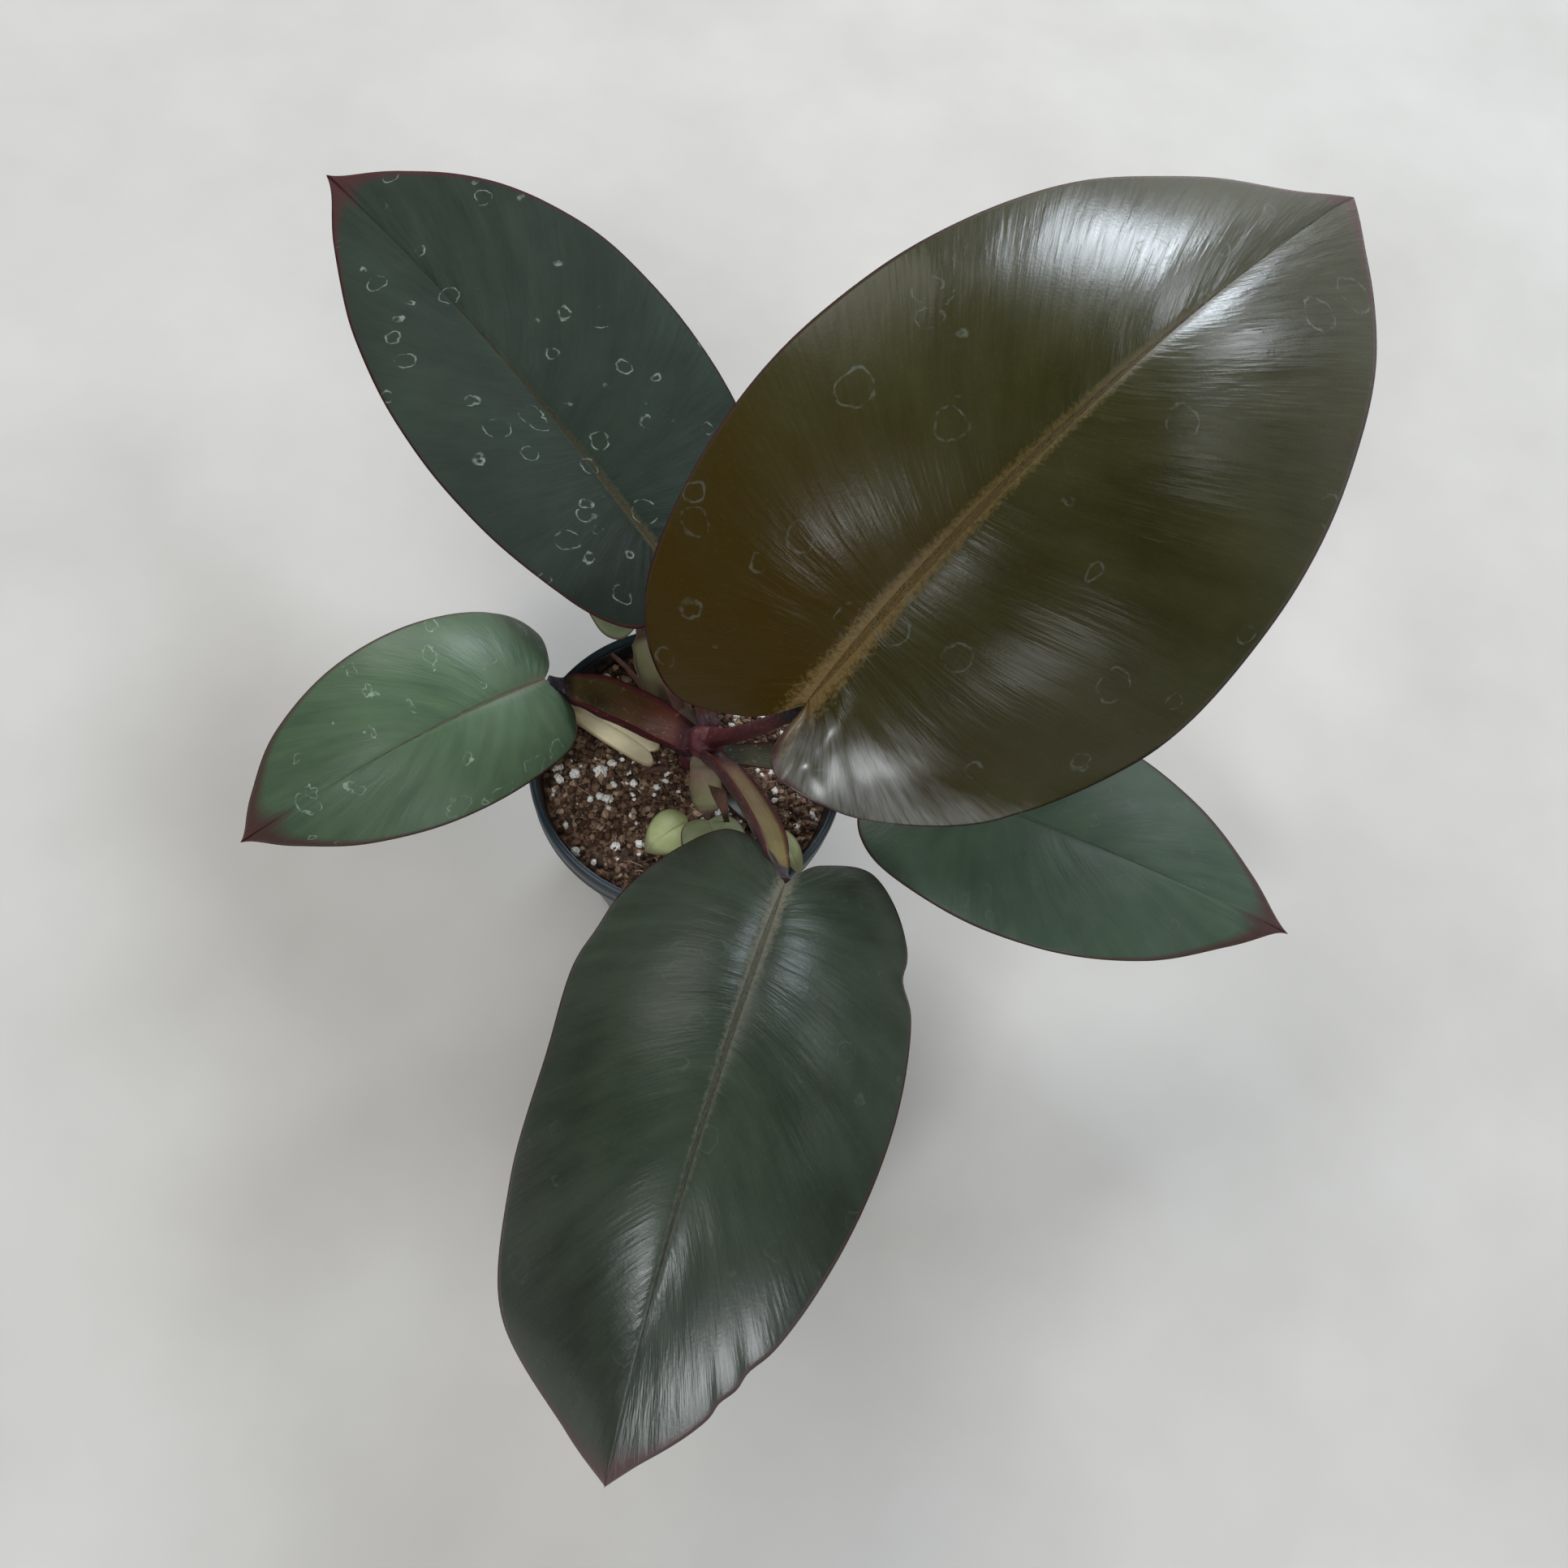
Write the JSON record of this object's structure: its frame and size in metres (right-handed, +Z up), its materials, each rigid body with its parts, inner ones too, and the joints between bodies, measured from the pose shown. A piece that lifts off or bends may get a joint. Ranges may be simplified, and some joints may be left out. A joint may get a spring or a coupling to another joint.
{
  "type": "potted philodendron",
  "caption": "Dark-leaved philodendron with glossy bronze and blackish-green heart-shaped leaves on winged purple stalks, in a round plastic nursery pot.",
  "frame": {"origin": "centre of the pot's foot, on the surface it stands on", "axes": "+Z up, +X to the side of the right leaf, +Y to the side of the big leaf"},
  "size_m": [0.406, 0.4283, 0.2341],
  "materials": {
    "pot_plastic": "satin dark slate-blue moulded plastic, soil-dusted inside the rim",
    "moist_mix": "coarse damp peat and coir crumbs and fibres",
    "perlite": "chalky white porous grains",
    "root": "pale cream roots",
    "purple_stem": "semi-gloss purple-red with a dry whitish residue",
    "purple_stalk": "glossy burgundy keel, olive inside the channel",
    "green_stalk": "soft olive-green, semi-gloss",
    "bronze_leaf": "glossy bronze-olive blade with a dark red margin",
    "dark_leaf": "glossy blackish-green blade with a paler midrib",
    "green_leaf": "semi-gloss green blade with water marks",
    "pale_leaf": "soft yellow-green blade",
    "yellow_leaf": "faded tan-yellow blade, matt",
    "dry_stalk": "dry brown stalk"
  },
  "bodies": {
    "root": {"pot": "pot_plastic", "potting_mix": "moist_mix", "roots": "root", "stem": "purple_stem", "big_leaf_blade": "bronze_leaf", "front_leaf_blade": "dark_leaf", "left_leaf_blade": "green_leaf", "upper_leaf_blade": "dark_leaf", "right_leaf_blade": "green_leaf", "small_back_leaf_blade": "green_leaf", "small_front_leaf_blade": "green_leaf", "yellow_leaf": "yellow_leaf", "round_leaf": "pale_leaf", "tiny_leaf": "green_leaf", "rim_leaf": "pale_leaf", "big_leaf_stalk": "purple_stalk", "front_leaf_stalk": "purple_stalk", "left_leaf_stalk": "purple_stalk", "upper_leaf_stalk": "purple_stalk", "right_leaf_stalk": "purple_stalk", "small_back_leaf_stalk": "green_stalk", "small_front_leaf_stalk": "green_stalk", "dry_stalk": "dry_stalk", "old_stalk": "dry_stalk", "perlite_1": "perlite", "perlite_2": "perlite", "perlite_3": "perlite", "perlite_4": "perlite", "perlite_5": "perlite", "perlite_6": "perlite"}
  },
  "joints": []
}
